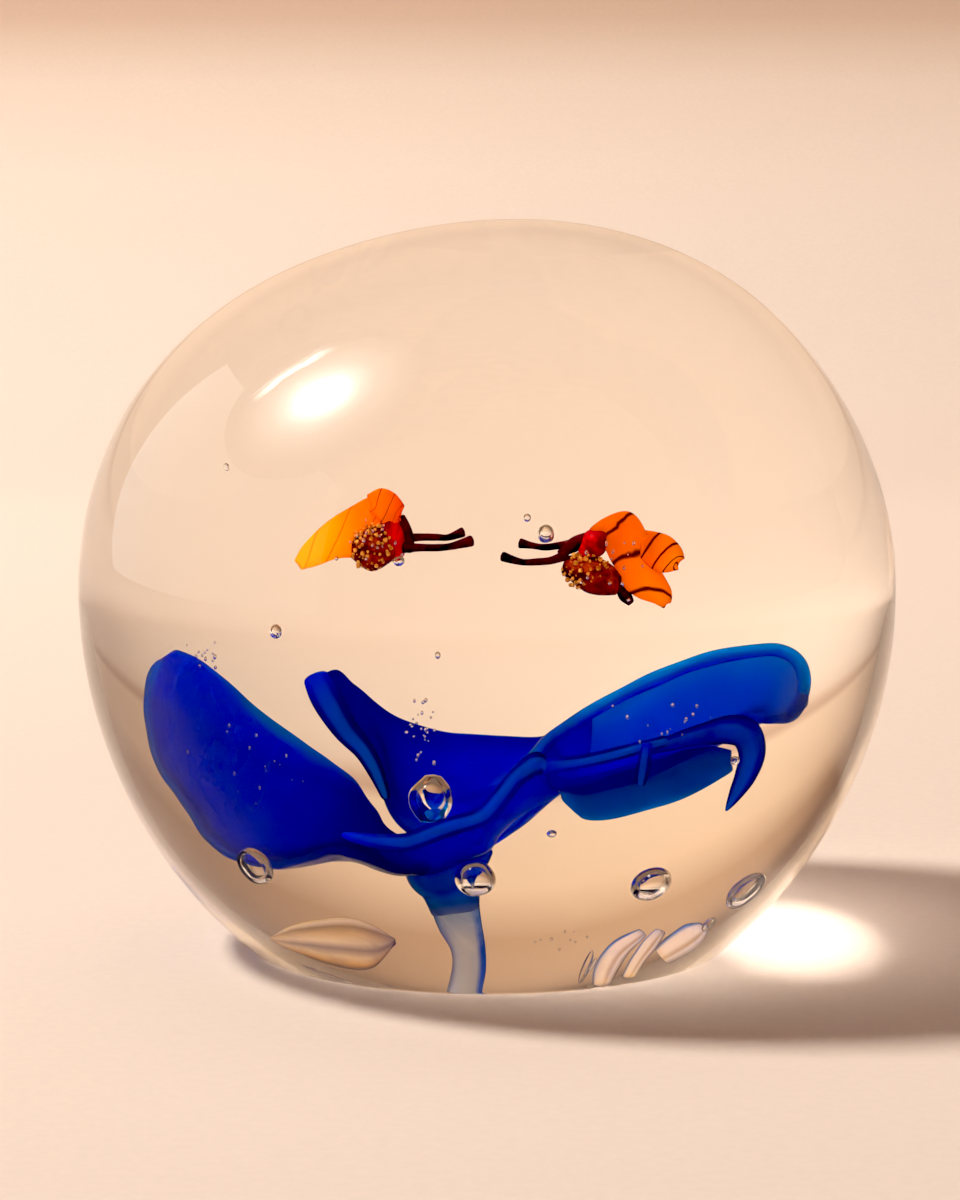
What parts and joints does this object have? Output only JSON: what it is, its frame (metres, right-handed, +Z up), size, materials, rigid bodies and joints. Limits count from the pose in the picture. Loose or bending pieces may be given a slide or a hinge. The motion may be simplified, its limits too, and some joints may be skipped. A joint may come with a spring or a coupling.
{
  "type": "paperweight",
  "caption": "Clear glass dome paperweight with a ground flat base; a lampworked flower and a pair of butterflies are sealed inside among air bubbles.",
  "frame": {"origin": "centre of the ground base, on the surface it stands on", "axes": "+Z up through the crown, -Y towards the front, +X to the right when seen from the front"},
  "size_m": [0.08, 0.08, 0.0715],
  "materials": {
    "clear_glass": "fire-polished, base ground flat",
    "stem_glass": "pale grey-blue, translucent",
    "teal_glass": "translucent",
    "cobalt_glass": "deep translucent blue",
    "amber_glass": "translucent orange",
    "garnet_glass": "dark red-brown",
    "ruby_glass": "translucent red",
    "black_glass": "near-black red",
    "gold_frit": "metallic gold grains"
  },
  "bodies": {
    "root": {"clear_casing": "clear_glass", "flower_stem": "stem_glass", "flower_calyx": "teal_glass", "petal_front": "cobalt_glass", "petal_left": "cobalt_glass", "petal_back": "cobalt_glass", "back_roll": "cobalt_glass", "petal_right": "cobalt_glass", "right_flap": "cobalt_glass", "front_lip": "cobalt_glass", "right_rim": "cobalt_glass", "rim_hook": "cobalt_glass", "fold_rib": "cobalt_glass", "lip_knob": "cobalt_glass", "left_forewing": "amber_glass", "left_hindwing": "amber_glass", "left_abdomen": "garnet_glass", "left_thorax": "ruby_glass", "left_head": "black_glass", "left_antenna_near": "black_glass", "left_antenna_far": "black_glass", "left_gold_grains": "gold_frit", "right_forewing": "amber_glass", "right_hindwing": "amber_glass", "right_abdomen": "garnet_glass", "right_thorax": "ruby_glass", "right_head": "black_glass", "right_antenna_upper": "black_glass", "right_antenna_lower": "black_glass", "right_foot": "black_glass", "right_bead": "amber_glass", "right_gold_grains": "gold_frit"}
  },
  "joints": []
}
